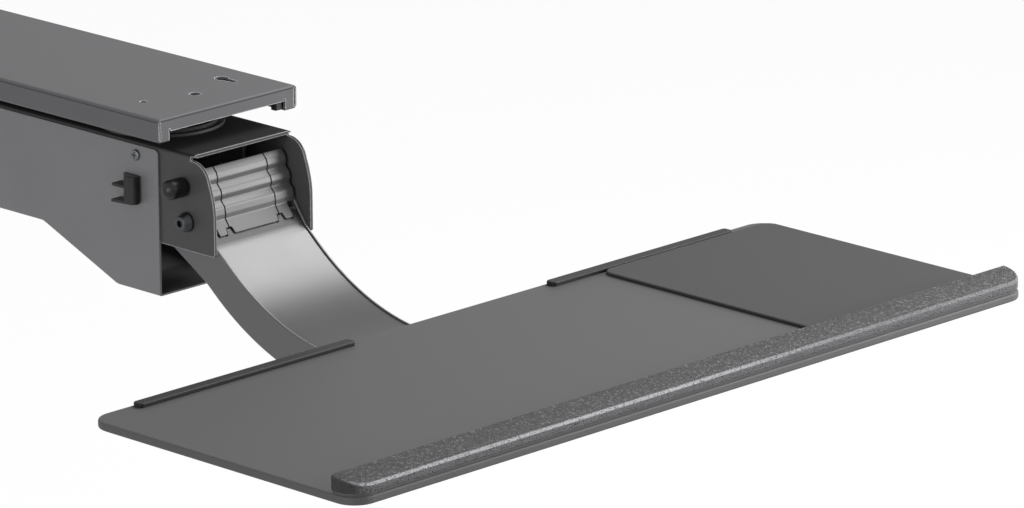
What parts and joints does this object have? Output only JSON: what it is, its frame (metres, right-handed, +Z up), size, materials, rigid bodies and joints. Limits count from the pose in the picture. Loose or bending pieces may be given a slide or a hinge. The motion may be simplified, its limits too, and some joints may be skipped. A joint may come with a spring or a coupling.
{
  "type": "keyboard tray under desk",
  "caption": "Sit-stand keyboard tray on a curved lift arm under a desk, with a sliding and swivelling carriage in a steel track, a palm rest and a mouse mat.",
  "frame": {"origin": "on the track's top face, midway between the two centre screw holes", "axes": "+X to the user's right, +Y away from the user along the track, +Z up"},
  "size_m": [0.664, 1.019, 0.1757],
  "materials": {
    "charcoal_steel": "fine satin powder coat, charcoal",
    "arm_steel": "satin powder coat, charcoal, on the arm's cover plates",
    "zinc_steel": "zinc plated, lightly scratched",
    "black_oxide": "black oxide, low sheen",
    "nylon_black": "moulded black nylon, fine grain",
    "knob_black": "moulded black plastic, soft gloss",
    "rubber_black": "black rubber, matt",
    "gas_black": "gloss black lacquer",
    "rod_chrome": "hard chrome, oiled",
    "board_phenolic": "satin phenolic laminate, charcoal",
    "lip_black": "moulded black plastic",
    "palm_base_black": "black moulded base strip",
    "palm_leatherette": "grained leatherette over foam",
    "mat_cloth": "fine woven cloth over foam"
  },
  "bodies": {
    "track": {"track": "charcoal_steel", "rear_stop": "black_oxide", "rear_stop_screws": "zinc_steel", "rear_buffers": "rubber_black"},
    "carriage": {"carriage_plate": "black_oxide", "carriage_glides": "nylon_black", "glide_screws": "zinc_steel", "front_buffer": "rubber_black", "turntable_ring": "black_oxide", "swivel_stud": "zinc_steel", "swivel_washer": "zinc_steel", "swivel_nut": "zinc_steel"},
    "swivel": {"bearing_ring": "nylon_black", "bracket": "charcoal_steel", "housing_cover": "charcoal_steel", "cover_screws": "zinc_steel", "cable_clip": "nylon_black", "pivot_bolt": "black_oxide", "pivot_washer": "zinc_steel", "pivot_nut": "black_oxide", "link_anchor": "black_oxide", "anchor_screws": "zinc_steel", "link_pins_rear": "zinc_steel", "spring_pin_rear": "zinc_steel", "spring_spacers": "nylon_black", "gas_cylinder": "gas_black", "gas_gland": "zinc_steel"},
    "lock_knob": {"lock_knob": "knob_black", "lock_stud": "zinc_steel"},
    "arm": {"arm_channel": "charcoal_steel", "arm_bridge": "charcoal_steel", "arm_cover": "arm_steel", "curl_cover_centre": "arm_steel", "curl_cover_left": "arm_steel", "curl_cover_right": "arm_steel", "pivot_tube": "zinc_steel", "pivot_bushes": "nylon_black", "arm_lever": "black_oxide", "spring_pin_front": "zinc_steel", "head_pin": "zinc_steel", "head_spacers": "nylon_black"},
    "link": {"link_bars": "black_oxide"},
    "gas": {"gas_rod": "rod_chrome", "rod_eye": "zinc_steel"},
    "head": {"head_frame": "charcoal_steel", "link_pins_front": "zinc_steel", "tilt_bolt": "zinc_steel", "tilt_washer": "zinc_steel"},
    "tilt_knob": {"tilt_knob": "knob_black"},
    "tray": {"tray_bracket": "charcoal_steel", "tray_screws": "zinc_steel", "tray_board": "board_phenolic", "rear_lip_left": "lip_black", "rear_lip_right": "lip_black", "palm_base": "palm_base_black", "palm_rest": "palm_leatherette", "mouse_mat": "mat_cloth"}
  },
  "joints": [
    {"name": "track_slide", "type": "slide", "parent": "track", "child": "carriage", "axis": [0, 1, 0], "range_m": [0, 0.385]},
    {"name": "swivel", "type": "hinge", "parent": "carriage", "child": "swivel", "pos_m": [0, -0.205, -0.026], "axis": [0, 0, 1], "range_deg": [-90, 90]},
    {"name": "lift", "type": "hinge", "parent": "swivel", "child": "arm", "pos_m": [0, -0.2832, -0.077], "axis": [-1, 0, 0], "range_deg": [-25, 16]},
    {"name": "link_turn", "type": "hinge", "parent": "swivel", "child": "link", "pos_m": [0, -0.27859, -0.08915], "axis": [-1, 0, 0], "range_deg": [-26, 17]},
    {"name": "head_level", "type": "hinge", "parent": "arm", "child": "head", "pos_m": [0, -0.494, -0.157], "axis": [-1, 0, 0], "range_deg": [-17, 26]},
    {"name": "spring_stroke", "type": "slide", "parent": "swivel", "child": "gas", "axis": [0, -0.9916, -0.1291], "range_m": [-0.0105, 0.0075]},
    {"name": "tilt", "type": "hinge", "parent": "head", "child": "tray", "pos_m": [0, -0.511, -0.133], "axis": [-1, 0, 0], "range_deg": [-15, 10]},
    {"name": "lock_knob_turn", "type": "hinge", "parent": "swivel", "child": "lock_knob", "pos_m": [-0.0565, -0.28, -0.0515], "axis": [-1, 0, 0], "range_deg": [0, 180]},
    {"name": "tilt_knob_turn", "type": "hinge", "parent": "head", "child": "tilt_knob", "pos_m": [0.05, -0.511, -0.133], "axis": [1, 0, 0], "range_deg": [0, 180]}
  ],
  "couplings": [
    {"joint": "link_turn", "follows": "lift", "ratio": 1},
    {"joint": "head_level", "follows": "lift", "ratio": -1},
    {"joint": "spring_stroke", "follows": "lift", "m_per_rad": 0.0216}
  ]
}
